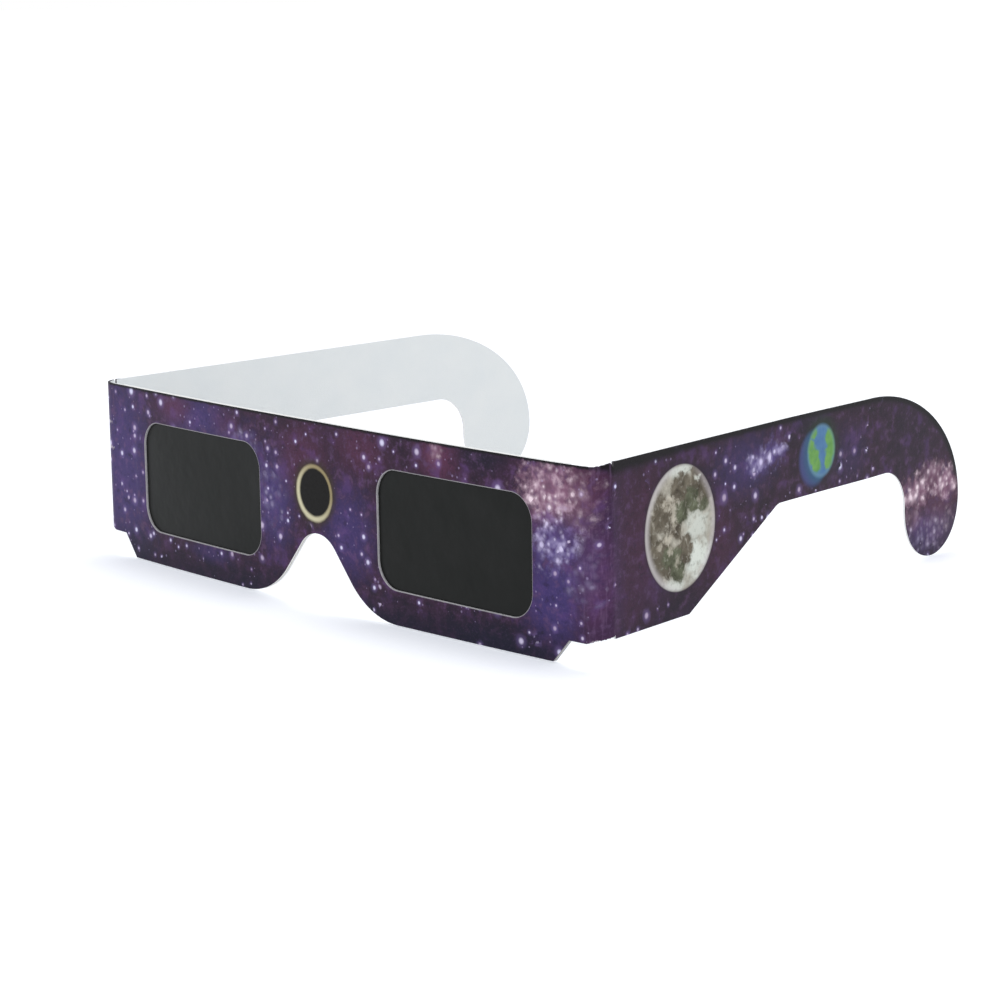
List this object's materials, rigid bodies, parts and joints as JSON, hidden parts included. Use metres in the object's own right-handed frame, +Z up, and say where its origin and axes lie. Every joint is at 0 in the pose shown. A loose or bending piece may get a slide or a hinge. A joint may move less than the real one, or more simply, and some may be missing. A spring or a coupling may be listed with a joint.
{
  "type": "eclipse glasses",
  "caption": "Card eclipse glasses: a bowed laminated front with dark filter windows and a nose notch, and temples with ear hooks that fold on scored creases.",
  "frame": {"origin": "the middle of the nose notch's mouth, in the front's printed face and on the surface that the glasses stand on", "axes": "+X to the wearer's left along the front, +Y to the rear along the temples, +Z up"},
  "size_m": [0.1567, 0.1265, 0.0345],
  "materials": {
    "printed_card": "night-sky print on the outside, bare white inside, lightly varnished",
    "white_card": "uncoated white",
    "filter_film": "smooth, near black",
    "glue": "dried glue film"
  },
  "bodies": {
    "front": {"front_panel": "printed_card", "back_panel": "white_card", "adhesive_layer": "glue", "left_filter": "filter_film", "right_filter": "filter_film", "left_crease": "printed_card", "right_crease": "printed_card"},
    "left_temple": {"left_temple": "printed_card"},
    "right_temple": {"right_temple": "printed_card"}
  },
  "joints": [
    {"name": "left_fold", "type": "hinge", "parent": "front", "child": "left_temple", "pos_m": [0.07194, 0.00382, 0.0195], "axis": [0, 0, 1], "range_deg": [-98.48, 77.6], "deforming": ["left_crease"]},
    {"name": "right_fold", "type": "hinge", "parent": "front", "child": "right_temple", "pos_m": [-0.07205, 0.00365, 0.0195], "axis": [0, 0, -1], "range_deg": [-81.08, 91.5], "deforming": ["right_crease"]}
  ]
}
